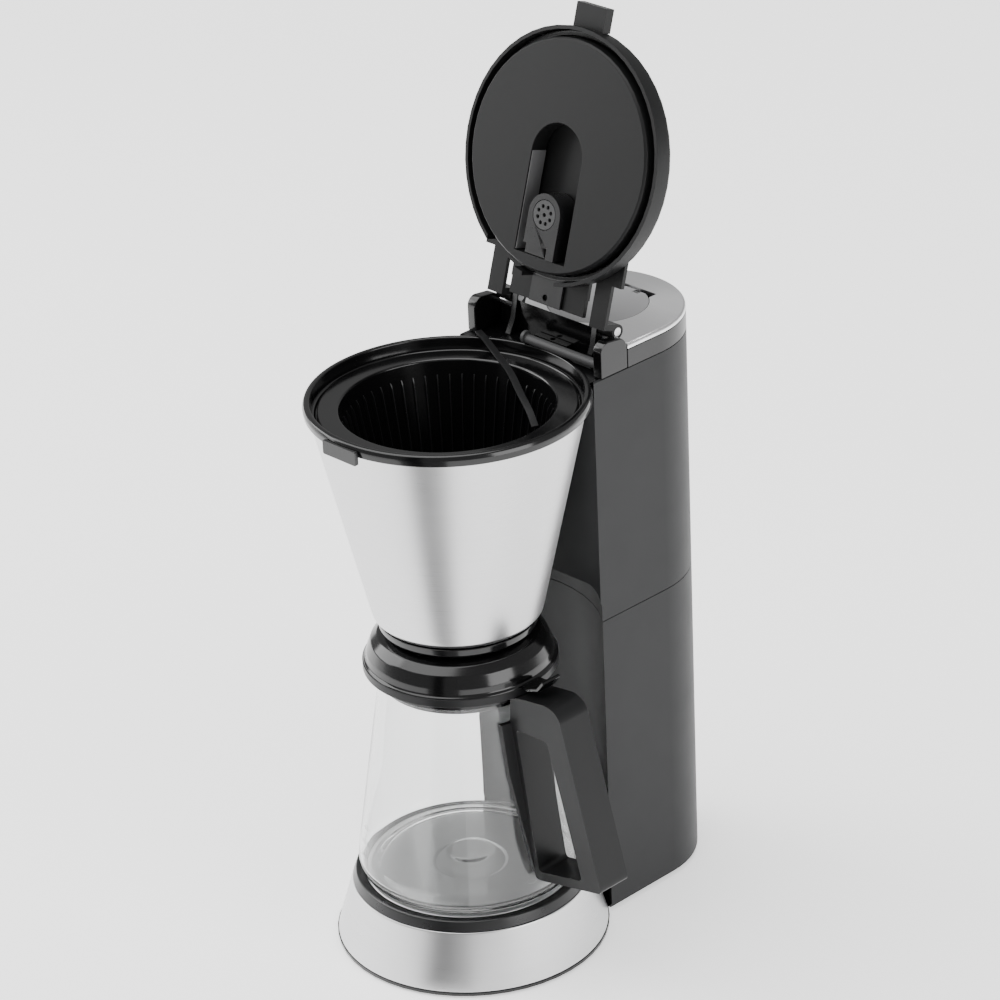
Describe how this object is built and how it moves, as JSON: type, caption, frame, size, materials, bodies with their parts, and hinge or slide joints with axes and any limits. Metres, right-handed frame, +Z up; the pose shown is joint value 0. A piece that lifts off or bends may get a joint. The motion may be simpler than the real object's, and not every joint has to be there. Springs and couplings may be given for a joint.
{
  "type": "drip coffee maker",
  "caption": "Drip coffee maker with a steel filter cone, a glass carafe on a round warming base, a rear water tower and a hinged lid that stands open.",
  "frame": {"origin": "middle of the footprint of the whole machine, on the surface the feet stand on", "axes": "+Z up, -Y towards the front of the machine where the carafe comes out, +X towards the carafe's handle"},
  "size_m": [0.1974, 0.2514, 0.5353],
  "materials": {
    "black_gloss": "glossy black moulded plastic",
    "satin_dark": "fine textured dark grey plastic",
    "lid_grey": "satin dark grey plastic",
    "brushed_steel": "finely brushed stainless steel",
    "top_steel": "bright satin stainless steel",
    "mid_grey": "smooth mid grey plastic",
    "bar_grey": "satin grey plastic",
    "glass": "clear borosilicate glass",
    "rubber": "black rubber",
    "silicone": "milky silicone rubber",
    "aluminium": "drawn aluminium tube",
    "steel_part": "plain steel",
    "clear_plastic": "smoky translucent plastic",
    "circuit_board": "green laminate"
  },
  "bodies": {
    "housing": {"base_plate": "black_gloss", "foot_1": "rubber", "foot_2": "rubber", "foot_3": "rubber", "foot_4": "rubber", "foot_5": "rubber", "base_screw_1": "steel_part", "base_screw_2": "steel_part", "base_screw_3": "steel_part", "base_ring": "brushed_steel", "plate_collar": "black_gloss", "warming_plate": "aluminium", "heating_tube": "aluminium", "heater_clip": "steel_part", "thermostat": "clear_plastic", "thermal_fuse": "steel_part", "tower_lower": "satin_dark", "tower_upper": "satin_dark", "water_tank": "clear_plastic", "check_valve": "silicone", "inlet_hose": "silicone", "riser_hose": "silicone", "riser_pipe": "clear_plastic", "timer_board": "circuit_board", "cord_gland": "rubber", "top_band": "black_gloss", "top_cover": "top_steel", "fill_neck": "black_gloss", "flap_pin": "steel_part", "bowl": "black_gloss", "cone_shell": "brushed_steel", "outlet_ring": "black_gloss", "latch_plate": "black_gloss", "hinge_bracket": "black_gloss", "hinge_ear_right": "black_gloss", "hinge_ear_left": "black_gloss", "lid_pin_right": "steel_part", "lid_pin_left": "steel_part", "hinge_bar": "bar_grey", "riser_outlet": "black_gloss", "switch_frame": "black_gloss"},
    "lid": {"lid_shell": "lid_grey", "lid_liner": "lid_grey", "water_channel": "black_gloss", "spray_plate": "lid_grey"},
    "flap": {"fill_flap": "mid_grey"},
    "insert": {"filter_insert": "black_gloss", "insert_grip": "satin_dark", "valve_cage": "black_gloss", "valve_spring": "steel_part"},
    "valve": {"drip_valve": "mid_grey", "valve_seal": "silicone"},
    "carafe": {"carafe_glass": "glass", "carafe_collar": "black_gloss", "carafe_handle": "satin_dark", "carafe_lid": "black_gloss", "carafe_lid_lever": "black_gloss"},
    "switch": {"switch_rocker": "black_gloss"}
  },
  "joints": [
    {"name": "lid_hinge", "type": "hinge", "parent": "housing", "child": "lid", "pos_m": [-0.01831, 0.04545, 0.3637], "axis": [-1, 0, 0], "range_deg": [-107, 0]},
    {"name": "flap_hinge", "type": "hinge", "parent": "housing", "child": "flap", "pos_m": [-0.01831, 0.10325, 0.3559], "axis": [-1, 0, 0], "range_deg": [0, 100]},
    {"name": "carafe_slide", "type": "slide", "parent": "housing", "child": "carafe", "axis": [0, -1, 0], "range_m": [0, 0.17]},
    {"name": "insert_lift", "type": "slide", "parent": "housing", "child": "insert", "axis": [0, -0.1736, 0.9848], "range_m": [0, 0.14]},
    {"name": "valve_lift", "type": "slide", "parent": "insert", "child": "valve", "axis": [0, 0, 1], "range_m": [0, 0.004], "stiffness_N_per_m": 150, "springref_m": -0.003, "deforming": ["valve_spring"]},
    {"name": "switch_rock", "type": "hinge", "parent": "housing", "child": "switch", "pos_m": [-0.06811, 0.06285, 0.046], "axis": [0, 1, 0], "range_deg": [0, 12]}
  ]
}
